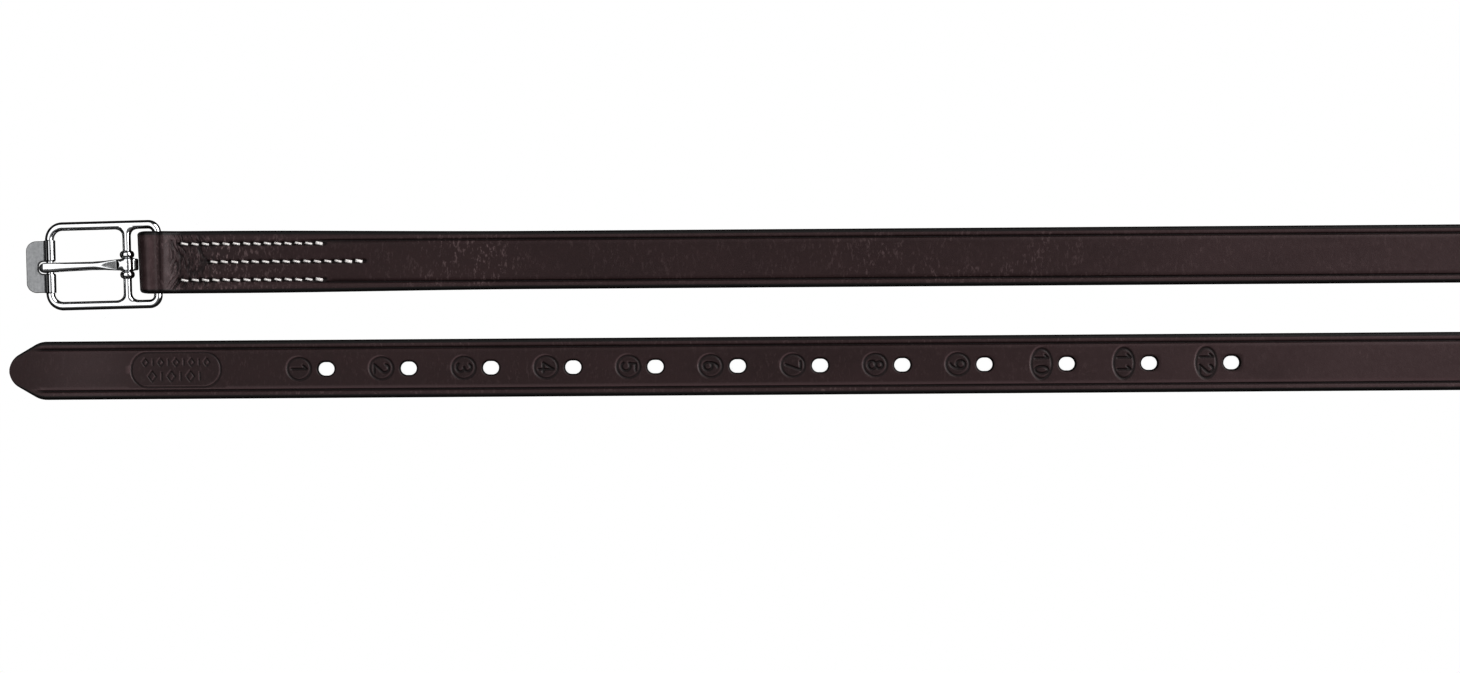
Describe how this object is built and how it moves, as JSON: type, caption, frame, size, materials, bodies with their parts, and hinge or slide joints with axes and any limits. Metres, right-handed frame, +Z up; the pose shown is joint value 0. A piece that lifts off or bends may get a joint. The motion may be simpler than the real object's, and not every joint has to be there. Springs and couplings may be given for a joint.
{
  "type": "stirrup leather",
  "caption": "Long brown leather strap with a steel buckle sewn into its folded end and numbered holes near its point.",
  "frame": {"origin": "on the strap's underside, below the middle of the fold that holds the buckle's rear bar", "axes": "+X along the strap, away from the buckle; +Y across the strap, away from the pointed run; +Z up, away from the surface the strap lies on"},
  "size_m": [0.7378, 0.0785, 0.0252],
  "materials": {
    "leather": "dark brown, waxed, smooth grain",
    "thread": "off-white twisted thread",
    "polished_steel": "mirror-polished stainless steel",
    "satin_steel": "satin stainless steel"
  },
  "bodies": {
    "strap": {"strap": "leather", "needle_thread_upper": "thread", "needle_thread_middle": "thread", "needle_thread_lower": "thread", "bobbin_thread_upper": "thread", "bobbin_thread_middle": "thread", "bobbin_thread_lower": "thread"},
    "frame": {"buckle_frame": "polished_steel"},
    "tongue": {"tongue": "polished_steel"},
    "plate": {"roller_plate": "satin_steel"}
  },
  "joints": [
    {"name": "buckle_swing", "type": "hinge", "parent": "strap", "child": "frame", "pos_m": [0, -0.0006, 0.00438], "axis": [-0.0192, 0.9998, 0], "range_deg": [-90, 60]},
    {"name": "tongue_swing", "type": "hinge", "parent": "frame", "child": "tongue", "pos_m": [-0.01309, -0.00085, 0.00384], "axis": [-0.0192, 0.9998, 0], "range_deg": [0, 110]},
    {"name": "plate_swing", "type": "hinge", "parent": "frame", "child": "plate", "pos_m": [-0.04645, -0.00149, 0.00245], "axis": [-0.0192, 0.9998, 0], "range_deg": [-75, 25]}
  ]
}
